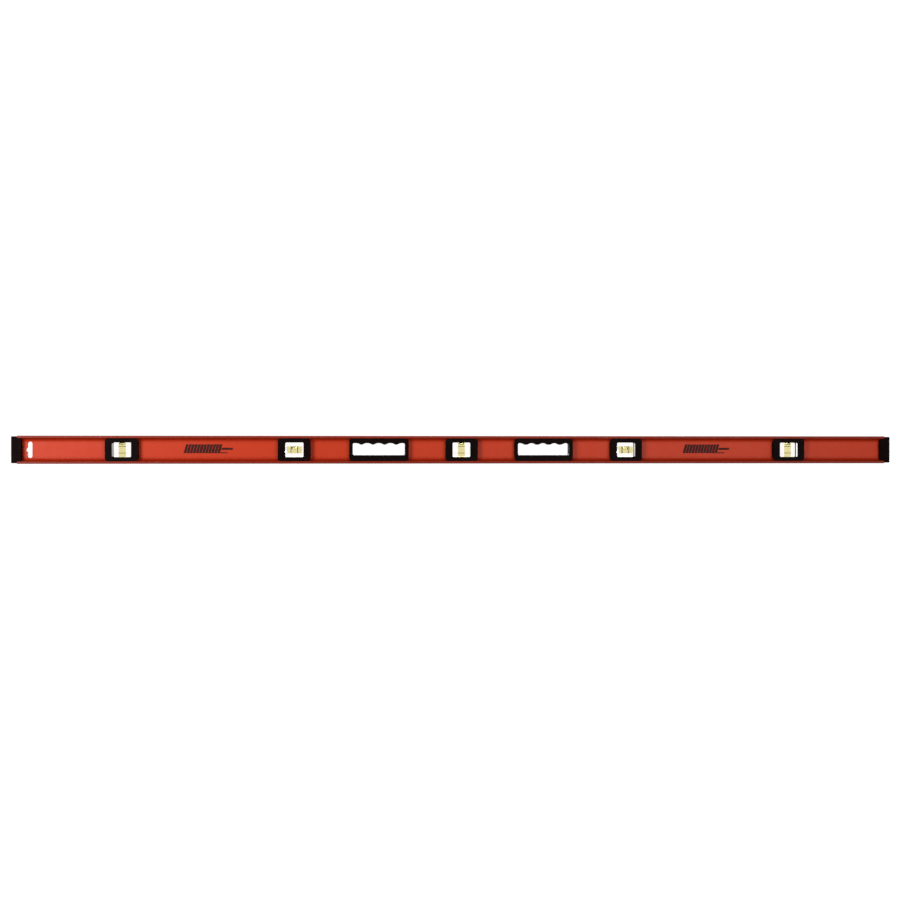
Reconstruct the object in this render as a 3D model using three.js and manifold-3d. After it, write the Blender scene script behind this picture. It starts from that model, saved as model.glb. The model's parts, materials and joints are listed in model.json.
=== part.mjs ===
// A six-foot aluminium I-beam spirit level for carpentry, built as an assembly of separate solids.
// Millimetres, +Z up. X runs along the beam, and the front faces -Y.
// The origin is the middle of the lower working face.
//
// An extruded I-beam carries five vial stations, two hand-hold linings and two end caps.
// Every vial station is a pair of plastic frames, screwed together through the web from behind.
// They clamp a clear acrylic block, whose bore holds a tinted liquid and an air bubble.

import * as THREE from "three";
import { mergeVertices } from "three/addons/utils/BufferGeometryUtils.js";
import Module from "manifold-3d";

// ---- Driving dimensions ----

const LENGTH = 1828.8; // six feet, over both end caps
const HEIGHT = 57.15; // two and a quarter inches
const WIDTH = 27;
const GAP = 0.3; // between neighbouring pieces

const PLUMB_SPACING = 694.7; // from the middle of the beam to an outer plumb vial
const LEVEL_SPACING = 345.7;
const GRIP_SPACING = 171.6;

const beam = {
  web: 3.2,
  flangeEdge: 5,
  chamfer: 0.8,
  slope: THREE.MathUtils.degToRad(15), // of a flange's inner face
  fillet: 6,
};

const cap = { plate: 12, prong: 8.4, inset: 1.3, corner: 2, screwSpacing: 22 };

const hangHole = { fromEnd: 35.3, width: 9, height: 33, corner: 4.4 };
const hangNotch = { radius: 5.8, reach: 7.3 }; // reach is from the middle of the slot

const housing = { width: 67, height: 46.4, corner: 6, recess: 0.6, bezel: 1.8 };
const housingWindow = { width: 38, height: 30, corner: 2.5 };
const housingRelief = { beyond: 1, depth: 4 }; // where a housing stands clear of the fillets

const block = { width: 40, depth: 21.6, height: 38 };
const blockCut = { width: 42, height: 40, corner: 3 }; // the hole in the web around a block

const bore = { radius: 7.1, endRadius: 6.9, half: 15.5 };
const liquidRadius = 6.5;
const levelBubble = { radius: 3.7, straight: 6, thickness: 3.8, rise: 4.3 };
const plumbBubble = { radius: 5.5, thickness: 5, topGap: 0.4 };
const pathGap = 0.4; // between the liquid and the path of a bubble

const grip = { width: 122.5, hole: 108, top: 13.7, bottom: -11.2, corner: 3, lining: 1.7 };
const scallop = { pitch: 24, count: 4, depth: 3.2, sharpness: 1.7 };
const peg = { radius: 1.2, x: 59, z: 8, length: 5 };

const screw = {
  spacing: 56, // between the two screws of a vial housing
  shank: 1.4,
  clearance: 0.35,
  tip: 0.5,
  taper: 1.6,
  head: 2.9,
  crown: 2.1,
  rim: 1.2,
  headHeight: 2.2,
  sunk: 1,
  seat: 3.3, // radius of the counterbore
  frontWall: 3, // left in front of a blind hole
  tipGap: 1,
};
const recess = { depth: 1.1, reach: 1.75, half: 0.4 }; // the cross in a screw's head

const SEGMENTS = { arc: 4, bore: 20, screw: 12, notch: 16, scallops: 36, pill: 12, ball: 16 };

// ---- Values worked out from the driving dimensions ----

const QUARTER = Math.PI / 2;
const BEYOND = 2 * WIDTH; // far enough for a cutter to pass right through
const MIDDLE = HEIGHT / 2;
const halfWidth = WIDTH / 2;
const webFace = beam.web / 2;
const housingFace = halfWidth - housing.recess;
const railHalf = LENGTH / 2 - cap.plate - GAP;
const capScrewX = LENGTH / 2 - cap.plate - cap.prong / 2;
const capScrewHeights = { lower: MIDDLE - cap.screwSpacing / 2, upper: MIDDLE + cap.screwSpacing / 2 };
const screwHole = screw.shank + screw.clearance;
const screwSeat = housingFace - screw.sunk - screw.headHeight;
const blindEnd = screw.frontWall - housingFace;

// The middle of a fillet's arc, with X standing for the distance from the web's mid-plane.
const filletCentre = new THREE.Vector2(
  webFace + beam.fillet,
  slopeHeight(webFace + beam.fillet, 0) + beam.fillet / Math.cos(beam.slope),
);

// The height of the lower flange's inner face at a distance y from the mid-plane, plus a gap.
function slopeHeight(y, gap) {
  const run = halfWidth - beam.chamfer - y;
  return beam.flangeEdge + run * Math.tan(beam.slope) + gap / Math.cos(beam.slope);
}

const stations = [
  { name: "plumb_left", x: -PLUMB_SPACING, upright: true },
  { name: "level_left", x: -LEVEL_SPACING, upright: false },
  { name: "plumb_centre", x: 0, upright: true },
  { name: "level_right", x: LEVEL_SPACING, upright: false },
  { name: "plumb_right", x: PLUMB_SPACING, upright: true },
];

const ends = [
  { end: "left", side: -1 },
  { end: "right", side: 1 },
];

// ---- Materials ----

function clearMaterial(color, opacity) {
  return new THREE.MeshStandardMaterial({ color, opacity, roughness: 0.05, transparent: true });
}

function plainMaterial(color, roughness, metalness) {
  return new THREE.MeshStandardMaterial({ color, roughness, metalness });
}

const materials = {
  paint: plainMaterial(0xc4442a, 0.4, 0.1),
  blackPlastic: plainMaterial(0x141213, 0.55, 0),
  rubber: plainMaterial(0x171516, 0.8, 0),
  steel: plainMaterial(0x8d8f92, 0.35, 1),
  acrylic: clearMaterial(0xf4f8f6, 0.35),
  liquid: clearMaterial(0xd6e25a, 0.8),
  air: clearMaterial(0xf6fae0, 0.4),
};

// ---- Solids made from three.js geometry ----

const wasm = await Module();
wasm.setup();

function toSolid(geometry) {
  const loose = geometry.index ? geometry.toNonIndexed() : geometry;
  const bare = new THREE.BufferGeometry();
  bare.setAttribute("position", loose.getAttribute("position"));
  const merged = mergeVertices(bare);
  const vertProperties = merged.attributes.position.array;
  const triVerts = new Uint32Array(merged.index.array);
  return new wasm.Manifold(new wasm.Mesh({ numProp: 3, vertProperties, triVerts }));
}

function toMesh(name, solid, material) {
  const { vertProperties, triVerts } = solid.getMesh();
  const geometry = new THREE.BufferGeometry();
  geometry.setAttribute("position", new THREE.BufferAttribute(vertProperties, 3));
  geometry.setIndex(new THREE.BufferAttribute(triVerts, 1));
  geometry.computeVertexNormals();
  const mesh = new THREE.Mesh(geometry, material);
  mesh.name = name;
  return mesh;
}

const [axisX, axisY, axisZ] = [0, 1, 2].map((i) => new THREE.Vector3().setComponent(i, 1));
const alongX = new THREE.Matrix4().makeBasis(axisY, axisZ, axisX);
const alongY = new THREE.Matrix4().makeBasis(axisX, axisZ, axisY.clone().negate());

function extrude(shape, depth) {
  return new THREE.ExtrudeGeometry(shape, {
    depth,
    bevelEnabled: false,
    curveSegments: SEGMENTS.arc,
  });
}

// A prism along X, of a shape drawn in Y and Z.
function prismX(shape, xStart, xEnd) {
  const low = Math.min(xStart, xEnd);
  const prism = extrude(shape, Math.abs(xEnd - xStart)).translate(0, 0, low);
  return toSolid(prism.applyMatrix4(alongX));
}

// A prism along Y, of a shape drawn in X and Z.
function prismY(shape, yStart, yEnd) {
  const high = Math.max(yStart, yEnd);
  const prism = extrude(shape, Math.abs(yEnd - yStart)).translate(0, 0, -high);
  return toSolid(prism.applyMatrix4(alongY));
}

function rodY(radius, yStart, yEnd, x, z, segments = SEGMENTS.screw) {
  const rod = new THREE.CylinderGeometry(radius, radius, Math.abs(yEnd - yStart), segments);
  return toSolid(rod.translate(x, (yStart + yEnd) / 2, z));
}

// A box of the given width and height about x = 0 and the beam's middle.
function boxY(width, height, yStart, yEnd) {
  const made = new THREE.BoxGeometry(width, Math.abs(yEnd - yStart), height);
  return toSolid(made.translate(0, (yStart + yEnd) / 2, MIDDLE));
}

function roundedRectangle(width, height, radius) {
  const x = width / 2 - radius;
  const z = height / 2 - radius;
  const shape = new THREE.Shape();
  shape.absarc(x, z, radius, 0, QUARTER);
  shape.absarc(-x, z, radius, QUARTER, 2 * QUARTER);
  shape.absarc(-x, -z, radius, 2 * QUARTER, 3 * QUARTER);
  shape.absarc(x, -z, radius, 3 * QUARTER, 4 * QUARTER);
  return shape;
}

// The same shape with every point moved up.
function raised(shape, height) {
  const points = shape.getPoints(SEGMENTS.arc);
  return new THREE.Shape(points.map((point) => new THREE.Vector2(point.x, point.y + height)));
}

// ---- The beam ----

function beamSection() {
  const { chamfer, flangeEdge, slope, fillet } = beam;
  const shape = new THREE.Shape();
  shape.moveTo(0, 0);
  for (const side of [1, -1]) {
    // From the bottom to the top at +Y, then from the top to the bottom at -Y.
    const turn = side > 0 ? 0 : 2 * QUARTER;
    const y = (distance) => side * distance;
    const z = (height) => (side > 0 ? height : HEIGHT - height);
    shape.lineTo(y(halfWidth - chamfer), z(0));
    shape.lineTo(y(halfWidth), z(chamfer));
    shape.lineTo(y(halfWidth), z(flangeEdge - chamfer));
    shape.lineTo(y(halfWidth - chamfer), z(flangeEdge));
    const filletY = y(filletCentre.x);
    const lower = [turn + 3 * QUARTER - slope, turn + 2 * QUARTER];
    const upper = [turn + 2 * QUARTER, turn + QUARTER + slope];
    shape.absarc(filletY, z(filletCentre.y), fillet, ...lower, true);
    shape.absarc(filletY, z(HEIGHT - filletCentre.y), fillet, ...upper, true);
    shape.lineTo(y(halfWidth - chamfer), z(HEIGHT - flangeEdge));
    shape.lineTo(y(halfWidth), z(HEIGHT - flangeEdge + chamfer));
    shape.lineTo(y(halfWidth), z(HEIGHT - chamfer));
    shape.lineTo(y(halfWidth - chamfer), z(HEIGHT));
  }
  return shape;
}

// What fills the beam's recess on one side, out to the housings' face.
function recessSection(side) {
  const { x, y: z } = filletCentre;
  const radius = beam.fillet - GAP;
  const outline = new THREE.Path();
  outline.absarc(x, z, radius, 3 * QUARTER - beam.slope, 2 * QUARTER, true);
  outline.absarc(x, HEIGHT - z, radius, 2 * QUARTER, QUARTER + beam.slope, true);
  outline.lineTo(housingFace, HEIGHT - slopeHeight(housingFace, GAP));
  outline.lineTo(housingFace, slopeHeight(housingFace, GAP));
  const points = outline.getPoints(SEGMENTS.arc);
  return new THREE.Shape(points.map((point) => new THREE.Vector2(side * point.x, point.y)));
}

// A tall slot, with a round notch towards the end of the beam where a nail centres itself.
function hangHoleCutter() {
  const x = hangHole.fromEnd - LENGTH / 2;
  const slot = roundedRectangle(hangHole.width, hangHole.height, hangHole.corner);
  const notchX = x - hangNotch.reach + hangNotch.radius;
  return prismY(slot, -BEYOND, BEYOND)
    .translate([x, 0, MIDDLE])
    .add(rodY(hangNotch.radius, -BEYOND, BEYOND, notchX, MIDDLE, SEGMENTS.notch));
}

function stationCutter({ x }) {
  const opening = roundedRectangle(blockCut.width, blockCut.height, blockCut.corner);
  let cutter = prismY(opening, -BEYOND, BEYOND).translate([0, 0, MIDDLE]);
  for (const { side } of ends) {
    cutter = cutter.add(rodY(screwHole, -BEYOND, BEYOND, (side * screw.spacing) / 2, MIDDLE));
  }
  return cutter.translate([x, 0, 0]);
}

function gripCutter() {
  let cutter = prismY(sleeveOutline(grip.lining + GAP), -BEYOND, BEYOND);
  for (const [x, z] of pegPlaces()) {
    cutter = cutter.add(rodY(peg.radius + GAP, -BEYOND, BEYOND, x, z));
  }
  return cutter.translate([0, 0, MIDDLE]);
}

function railSolid() {
  const cutters = [hangHoleCutter(), ...stations.map(stationCutter)];
  for (const { side } of ends) {
    cutters.push(gripCutter().translate([side * GRIP_SPACING, 0, 0]));
    for (const z of Object.values(capScrewHeights)) {
      cutters.push(rodY(screwHole, -BEYOND, BEYOND, side * capScrewX, z));
    }
  }
  const whole = prismX(beamSection(), -railHalf, railHalf);
  return cutters.reduce((rail, cutter) => rail.subtract(cutter), whole);
}

// ---- Screws, driven from the back ----

// Clearance for one screw: a counterbore and a shank hole, blind towards the front.
function screwCutter(x, z) {
  const shank = rodY(screwHole, blindEnd, halfWidth, x, z);
  return shank.add(rodY(screw.seat, screwSeat, halfWidth, x, z));
}

function screwSolid(x, z) {
  const tipEnd = blindEnd + screw.tipGap;
  const under = screwSeat + GAP;
  const top = under + screw.headHeight;
  const profile = [
    [0, tipEnd],
    [screw.tip, tipEnd],
    [screw.shank, tipEnd + screw.taper],
    [screw.shank, under],
    [screw.head, under],
    [screw.head, under + screw.rim],
    [screw.crown, top],
    [0, top],
  ];
  const points = profile.map(([radius, y]) => new THREE.Vector2(radius, y));
  const body = toSolid(new THREE.LatheGeometry(points, SEGMENTS.screw));
  const slot = (width, height) => {
    const made = new THREE.BoxGeometry(2 * width, 2 * recess.depth, 2 * height);
    return toSolid(made.translate(0, top, 0));
  };
  const cross = slot(recess.reach, recess.half).add(slot(recess.half, recess.reach));
  return body.subtract(cross).translate([x, 0, z]);
}

// ---- End caps ----

// An end plate, with a prong into the beam's recess on each side of the web.
function capSolid(side) {
  const outer = LENGTH / 2;
  const outline = roundedRectangle(cap.plate, HEIGHT - 2 * cap.inset, cap.corner);
  const plate = prismY(outline, cap.inset - halfWidth, halfWidth - cap.inset);
  let solid = plate.translate([side * (outer - cap.plate / 2), 0, MIDDLE]);
  for (const face of [-1, 1]) {
    const root = side * (outer - cap.plate / 2);
    const tip = side * (outer - cap.plate - cap.prong);
    solid = solid.add(prismX(recessSection(face), root, tip));
  }
  for (const z of Object.values(capScrewHeights)) {
    solid = solid.subtract(screwCutter(side * capScrewX, z));
  }
  return solid;
}

// ---- Vial stations ----

// Half of the housing that clamps a vial block, centred on x = 0. side is -1 for the front.
function housingSolid(side) {
  const face = side * housingFace;
  const outline = roundedRectangle(housing.width, housing.height, housing.corner);
  const { width, height, corner } = housingWindow;
  const opening = prismY(roundedRectangle(width, height, corner), 0, 2 * face);
  const pocketFloor = side * (housingFace - housing.bezel);
  let solid = prismY(outline, 0, face)
    .translate([0, 0, MIDDLE])
    .intersect(prismX(recessSection(side), -housing.width, housing.width))
    .subtract(opening.translate([0, 0, MIDDLE]))
    .subtract(boxY(block.width + 2 * GAP, block.height + 2 * GAP, 0, pocketFloor));
  const { beyond, depth } = housingRelief;
  solid = solid.subtract(boxY(blockCut.width + 2 * beyond, HEIGHT, 0, side * depth));
  for (const { side: along } of ends) {
    solid = solid.subtract(screwCutter((along * screw.spacing) / 2, MIDDLE));
  }
  return solid;
}

// A round solid from a profile of radius and distance along its axis: Z if upright, X if not.
function turned(profile, upright) {
  const points = profile.map(([radius, along]) => new THREE.Vector2(radius, along));
  const made = new THREE.LatheGeometry(points, SEGMENTS.bore);
  return toSolid(upright ? made.rotateX(QUARTER) : made.rotateZ(-QUARTER));
}

function cylinder(radius, start, end, upright) {
  const low = Math.min(start, end);
  const high = Math.max(start, end);
  return turned([[0, low], [radius, low], [radius, high], [0, high]], upright);
}

// How far along its axis the bore opens: at the top of an upright block, else at the left.
function mouth(upright) {
  return upright ? block.height / 2 : -block.width / 2;
}

// The chamber is slightly barrel-shaped, so a bubble rests in the middle of it.
function chamber(upright) {
  const { radius, endRadius, half } = bore;
  const profile = [[0, -half]];
  for (const part of [-1, -0.5, 0, 0.5, 1]) {
    profile.push([radius - (radius - endRadius) * part * part, part * half]);
  }
  profile.push([0, half]);
  return turned(profile, upright);
}

function blockSolid(upright) {
  const entry = cylinder(bore.endRadius, 0, mouth(upright) + Math.sign(mouth(upright)), upright);
  const { width, depth, height } = block;
  return toSolid(new THREE.BoxGeometry(width, depth, height))
    .subtract(chamber(upright))
    .subtract(entry);
}

function plugSolid(upright) {
  const inner = Math.sign(mouth(upright)) * bore.half;
  return cylinder(bore.endRadius - GAP, inner, mouth(upright), upright);
}

// The liquid leaves the bubble's whole path free: a channel along the top of a level vial, or
// the middle of an upright one.
function liquidSolid(upright) {
  const half = bore.half - GAP;
  const filled = cylinder(liquidRadius, -half, half, upright);
  if (upright) return filled.subtract(cylinder(plumbBubble.radius + GAP, -BEYOND, BEYOND, true));
  const floor = levelBubble.rise - levelBubble.thickness / 2 - pathGap;
  const channel = new THREE.BoxGeometry(BEYOND, 2 * (levelBubble.radius + pathGap), BEYOND);
  return filled.subtract(toSolid(channel.translate(0, 0, floor + BEYOND / 2)));
}

// A level vial's bubble lies in the middle, under the top of the bore. An upright vial's bubble
// floats at the top end.
function bubbleSolid(upright) {
  if (upright) {
    const { radius, thickness, topGap } = plumbBubble;
    const ball = new THREE.SphereGeometry(radius, SEGMENTS.ball, SEGMENTS.ball / 2);
    ball.rotateX(QUARTER).scale(1, 1, thickness / 2 / radius);
    return toSolid(ball.translate(0, 0, bore.half - topGap - thickness / 2));
  }
  const { radius, straight, thickness, rise } = levelBubble;
  const pill = new THREE.CapsuleGeometry(radius, straight, SEGMENTS.arc, SEGMENTS.pill);
  pill.rotateZ(QUARTER).scale(1, 1, thickness / 2 / radius);
  return toSolid(pill.translate(0, 0, rise));
}

function stationGroup({ name, x, upright }) {
  const station = new THREE.Group();
  station.position.x = x;
  station.add(
    toMesh(`${name}_front_frame`, housingSolid(-1), materials.blackPlastic),
    toMesh(`${name}_back_frame`, housingSolid(1), materials.blackPlastic),
  );
  for (const { end, side } of ends) {
    const solid = screwSolid((side * screw.spacing) / 2, MIDDLE);
    station.add(toMesh(`${name}_frame_screw_${end}`, solid, materials.steel));
  }
  const vial = new THREE.Group();
  vial.position.z = MIDDLE;
  vial.add(
    toMesh(`${name}_vial_block`, blockSolid(upright), materials.acrylic),
    toMesh(`${name}_vial_plug`, plugSolid(upright), materials.acrylic),
    toMesh(`${name}_vial_liquid`, liquidSolid(upright), materials.liquid),
    toMesh(`${name}_vial_bubble`, bubbleSolid(upright), materials.air),
  );
  return station.add(vial);
}

// ---- Hand-hold linings ----

// Four pegs of the front half pass through the web into sockets of the back half.
function pegPlaces() {
  return [-1, 1].flatMap((side) => [-1, 1].map((up) => [side * peg.x, up * peg.z]));
}

// The height of the finger opening's upper edge: four rounded teeth between five hollows.
function scallopEdge(x) {
  const wave = (1 - Math.cos((2 * Math.PI * x) / scallop.pitch)) / 2;
  return grip.top - scallop.depth * wave ** scallop.sharpness;
}

function fingerOpening() {
  const { corner, top, bottom } = grip;
  const x = grip.hole / 2 - corner;
  const reach = (scallop.count * scallop.pitch) / 2;
  const shape = new THREE.Shape();
  shape.absarc(-x, bottom + corner, corner, 2 * QUARTER, 3 * QUARTER);
  shape.absarc(x, bottom + corner, corner, 3 * QUARTER, 4 * QUARTER);
  shape.absarc(x, top - corner, corner, 0, QUARTER);
  for (let i = 0; i <= SEGMENTS.scallops; i++) {
    const along = reach * (1 - (2 * i) / SEGMENTS.scallops);
    shape.lineTo(along, scallopEdge(along));
  }
  shape.absarc(-x, top - corner, corner, QUARTER, 2 * QUARTER);
  return shape;
}

// The outline of the sleeve around the finger opening, a wall's thickness outside it.
function sleeveOutline(wall) {
  const width = grip.hole + 2 * wall;
  const height = grip.top - grip.bottom + 2 * wall;
  const outline = roundedRectangle(width, height, grip.corner + wall);
  return raised(outline, (grip.top + grip.bottom) / 2);
}

// Half of a hand-hold lining: a bezel in the beam's recess and a sleeve through the web.
function gripSolid(side) {
  const outline = roundedRectangle(grip.width, housing.height, housing.corner);
  const bezel = prismY(outline, 0, side * housingFace)
    .translate([0, 0, MIDDLE])
    .intersect(prismX(recessSection(side), -grip.width, grip.width))
    .translate([0, 0, -MIDDLE]);
  const intoBezel = webFace + grip.lining;
  const sleeve = prismY(sleeveOutline(grip.lining), (side * GAP) / 2, side * intoBezel);
  let solid = bezel.add(sleeve);
  for (const [x, z] of pegPlaces()) {
    if (side < 0) solid = solid.add(rodY(peg.radius, -intoBezel, peg.length, x, z));
    else solid = solid.subtract(rodY(peg.radius + GAP, 0, peg.length + GAP, x, z));
  }
  return solid.subtract(prismY(fingerOpening(), -BEYOND, BEYOND)).translate([0, 0, MIDDLE]);
}

// ---- The assembly ----

function endGroup({ end, side }) {
  const group = new THREE.Group();
  group.add(toMesh(`end_cap_${end}`, capSolid(side), materials.rubber));
  for (const [place, z] of Object.entries(capScrewHeights)) {
    const solid = screwSolid(side * capScrewX, z);
    group.add(toMesh(`end_cap_${end}_screw_${place}`, solid, materials.steel));
  }
  return group;
}

function gripGroup({ end, side }) {
  const group = new THREE.Group();
  group.position.x = side * GRIP_SPACING;
  return group.add(
    toMesh(`hand_hold_${end}_front`, gripSolid(-1), materials.blackPlastic),
    toMesh(`hand_hold_${end}_back`, gripSolid(1), materials.blackPlastic),
  );
}

const level = new THREE.Group();
level.add(
  toMesh("rail", railSolid(), materials.paint),
  ...ends.map(endGroup),
  ...ends.map(gripGroup),
  ...stations.map(stationGroup),
);

export default level;
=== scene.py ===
"""A six-foot I-beam spirit level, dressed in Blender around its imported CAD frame."""

import json
import math

import bmesh
import bpy
from mathutils import Matrix, Vector


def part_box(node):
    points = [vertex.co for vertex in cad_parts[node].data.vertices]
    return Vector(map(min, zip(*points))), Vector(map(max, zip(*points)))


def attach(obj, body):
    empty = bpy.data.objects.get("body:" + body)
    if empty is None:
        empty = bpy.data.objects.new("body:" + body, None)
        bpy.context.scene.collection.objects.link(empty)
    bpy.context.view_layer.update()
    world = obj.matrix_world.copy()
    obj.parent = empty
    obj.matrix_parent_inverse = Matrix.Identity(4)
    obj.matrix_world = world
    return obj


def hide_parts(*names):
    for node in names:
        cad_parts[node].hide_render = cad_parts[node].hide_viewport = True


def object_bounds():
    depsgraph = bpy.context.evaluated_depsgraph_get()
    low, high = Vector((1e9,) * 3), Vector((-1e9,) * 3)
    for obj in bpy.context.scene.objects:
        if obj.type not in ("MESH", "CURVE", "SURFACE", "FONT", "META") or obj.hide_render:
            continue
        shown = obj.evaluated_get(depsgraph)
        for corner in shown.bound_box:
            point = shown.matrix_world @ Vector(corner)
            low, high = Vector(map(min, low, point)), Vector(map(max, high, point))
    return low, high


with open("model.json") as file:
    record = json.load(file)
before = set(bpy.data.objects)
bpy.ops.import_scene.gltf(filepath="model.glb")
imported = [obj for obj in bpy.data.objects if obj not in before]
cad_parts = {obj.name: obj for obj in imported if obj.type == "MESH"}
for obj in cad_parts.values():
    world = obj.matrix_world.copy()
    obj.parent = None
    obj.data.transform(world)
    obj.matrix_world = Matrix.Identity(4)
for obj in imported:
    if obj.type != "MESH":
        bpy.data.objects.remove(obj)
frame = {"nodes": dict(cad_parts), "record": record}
cad_low, cad_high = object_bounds()

MM = 0.001
QUARTER = math.pi / 2

# ---- Camera, in metres from the middle of the beam's front ----

CAMERA_SIDE = -0.2175
CAMERA_DISTANCE = 2.584
CAMERA_DROP = 0.0005
CAMERA_YAW = math.radians(4.268)
CAMERA_LENS_MM = 50
CAMERA_SENSOR_MM = 36

# ---- Light and floor, in metres and watts ----

# The front lights stay above the beam, so the flat fronts of the vial blocks don't mirror them.
LIGHTS = {
    "key_light": {"at": (-1.75, -1.8, 0.26), "target": (-0.7, 0, 0.03), "size": (0.9, 0.28), "power": 32},
    "front_light": {"at": (1.15, -2.9, 0.3), "target": (0.45, 0, 0.03), "size": (1.8, 0.34), "power": 30.5},
    "back_light": {"at": (0.3, 2.8, 0.6), "target": (0, 0, 0.03), "size": (2.2, 0.8), "power": 66},
    "top_light": {"at": (0.0, 0.5, 2.2), "target": (0, 0.05, 0.03), "size": (2.2, 0.6), "power": 40},
}
SKY_LIGHT = 0.08  # how brightly the world lights the object
SKY_WHITE = 1.05  # how bright it looks, straight or through clear pieces
FLOOR = {"tone": (0.29, 0.29, 0.29), "lighter": (0.31, 0.31, 0.31), "patches": 0.7, "roughness": 0.9}
FLOOR_REACH = 20
FLOOR_GLOW = {"near": 0.84, "far": 1.0}  # its own white, lower near the beam so that a shadow shows
FLOOR_FADE = (0.2, 0.7)  # how far from the beam the glow starts to rise, and stops

# ---- Materials: colours are linear red, green and blue, scales per metre, bump depths in mm ----

PAINT = {
    "tone": (0.62, 0.042, 0.006),
    "lighter": (0.68, 0.049, 0.009),
    # flange: painted shade, a deeper red over the fillets, slopes and flanges, where the recess is in shade
    "flange": (0.44, 0.026, 0.004),
    # edge: painted shade on the flanges' front edges
    "edge": (0.30, 0.024, 0.008),
    "scuff": (0.42, 0.15, 0.11),
    "patches": 9.0,
    "patch_detail": 4.0,
    "scuffs": 160.0,
    "scuff_detail": 6.0,
    "sheen": 60.0,
    "roughness": (0.43, 0.5),
    "specular": 0.2,
}
# The painted shade towards the flanges, a deeper red, starts this far before the fillet's centre, and is
# full this far before the edge.
FLANGE_SHADE = {"before_fillet": 4.0, "before_edge": 2.5}
# The painted shade on the flanges' front edges starts this far in from the beam's sides, and is full nearer
# to them.
EDGE_SHADE = {"start": 1.3, "full": 0.5}
SCUFF_RANGE = (0.67, 0.74)  # the noise values where a scuff starts and is full

PLASTIC = {
    "tone": (0.0058, 0.0022, 0.0021),
    "dust": (0.0085, 0.0042, 0.0040),
    "roughness": (0.46, 0.54),
    "bump": {"scale": 1400.0, "strength": 0.12, "depth": 0.1},
}
RUBBER = {
    "tone": (0.0080, 0.0030, 0.0028),
    "dust": (0.0110, 0.0060, 0.0056),
    "roughness": (0.6, 0.75),
    "bump": {"scale": 800.0, "strength": 0.12, "depth": 0.1},
}
MOULDED = {"dust": 55.0, "sheen": 130.0, "specular": 0.03}  # what plastic and rubber share
DUST_RANGE = (0.5, 0.8)

STEEL = {
    "tone": (0.42, 0.42, 0.43),
    "lighter": (0.62, 0.61, 0.59),
    "patches": 500.0,
    "sheen": 900.0,
    "roughness": (0.25, 0.45),
}

# A clear piece inside another has its index relative to that one.
ACRYLIC = {"tone": (0.995, 0.975, 0.955), "deeper": (0.985, 0.96, 0.935), "ior": 1.49, "roughness": 0.02}
PLUG = {"tone": (0.90, 0.92, 0.90), "deeper": (0.84, 0.86, 0.84), "ior": 1.05, "roughness": 0.1}
LIQUID = {"tone": (0.82, 0.745, 0.38), "deeper": (0.75, 0.68, 0.33), "ior": 1.0, "roughness": 0.0}
CLEAR = {"patches": 45.0, "sheen": 120.0}  # what the acrylic, the plug and the liquid share
AIR = {"tone": (0.97, 0.98, 0.90), "deeper": (0.93, 0.95, 0.84), "ior": 0.78, "patches": 60.0}

VIAL_INK = {"tone": (0.008, 0.008, 0.008), "lighter": (0.02, 0.02, 0.02)}
PRINT_INK = {"tone": (0.050, 0.009, 0.008), "lighter": (0.075, 0.013, 0.011)}
INK = {"patches": 220.0, "sheen": 300.0, "roughness": (0.45, 0.6), "specular": 0.1}  # what inks share

ORANGE_PEEL = {"scale": 900.0, "strength": 0.08, "depth": 0.2}
TURNING_MARKS = {"scale": 2500.0, "strength": 0.1, "depth": 0.1}

NOISE_RANGE = (0.3, 0.7)  # where most of a noise's values lie
COARSE = 2.0  # levels of detail in a noise
EVEN = 3.0
FINE = 5.0
ALONG = (0.3, 1, 1)  # a noise stretched along the beam
SCUFF_ALONG = (0.25, 1, 1)
TURNED = (1, 0.1, 1)  # a noise stretched along a screw

# ---- Shapes, in millimetres ----

WEB_FACE = 1.6
FLANGE_EDGE = 5.0
FLANGE_ROUND = 1.0
FLANGE_SLOPE = math.radians(15)
FILLET = 6.0
GAP = 0.3
BLOCK_CLEARANCE = 1.0  # from a vial block to the web around it
BLOCK_CUT_CORNER = 3.0
SLEEVE_WALL = 1.7

HANG_HOLE = {"width": 9.0, "height": 33.0, "corner": 4.4}
HANG_NOTCH = {"radius": 5.8, "reach": 7.3}
HOLE_CHAMFER = 0.35

HOUSING_EDGE = 0.9  # rounding of a housing's front edge
HOUSING_CORNER = 6.0
HOUSING_RELIEF = {"beyond": 1.0, "depth": 4.0}  # beyond the web's cut, where the housing stands clear
WINDOW = {"width": 38.0, "height": 30.0, "corner": 2.5, "chamfer": 0.9}
BEZEL = 1.8
SCREW_SEAT = 3.3
SCREW_SINK = 3.2  # from the housing's face down to the seat under a screw head

OPENING = {"width": 108.0, "top": 13.7, "bottom": -11.2, "corner": 3.0, "edge": 1.2}
TOOTH = {"pitch": 24.0, "count": 4, "depth": 3.2, "sharpness": 1.7}

CAP_ROUND = 1.6
CAP_CORNER = 2.0
PRONG_CHAMFER = 0.6

BLOCK_BEVEL = 0.5
CHAMBER = {"radius": 7.1, "end": 6.9, "half": 15.5}
LINE = {"place": 6.8, "width": 0.9, "outer": 7.35, "inner": 7.15}
LEVEL_BUBBLE = Vector((6.7, 5.3, 2.9))
PLUMB_BUBBLE = Vector((6.4, 6.4, 2.6))
BUBBLE_CLEAR = 0.25  # from a bubble to the chamber's wall
BUBBLE_FULLNESS = 0.8  # 1 is an ellipsoid, and less is nearer to a box

SCREW_HEAD = {"radius": 2.9, "rim": 1.0, "height": 2.2, "crown": 1.9}
SCREW_SHANK = {"radius": 1.4, "tip": 0.5, "taper": 1.6}
SCREW_CROSS = {"reach": 1.75, "half": 0.38, "depth": 1.2}
SCREW_TURN = math.radians(35)  # from one screw's cross to the next one's

MARK = {"bars": 12, "pitch": 6.2, "bar": 5.45, "height": 18.4, "slant": 5.0, "rise": 2.0, "thickness": 0.06}
MARK_DASHES = (
    {"length": 23.0, "height": 4.4, "low": -2.2},
    {"length": 15.0, "height": 2.0, "low": -9.2},
)

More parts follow.
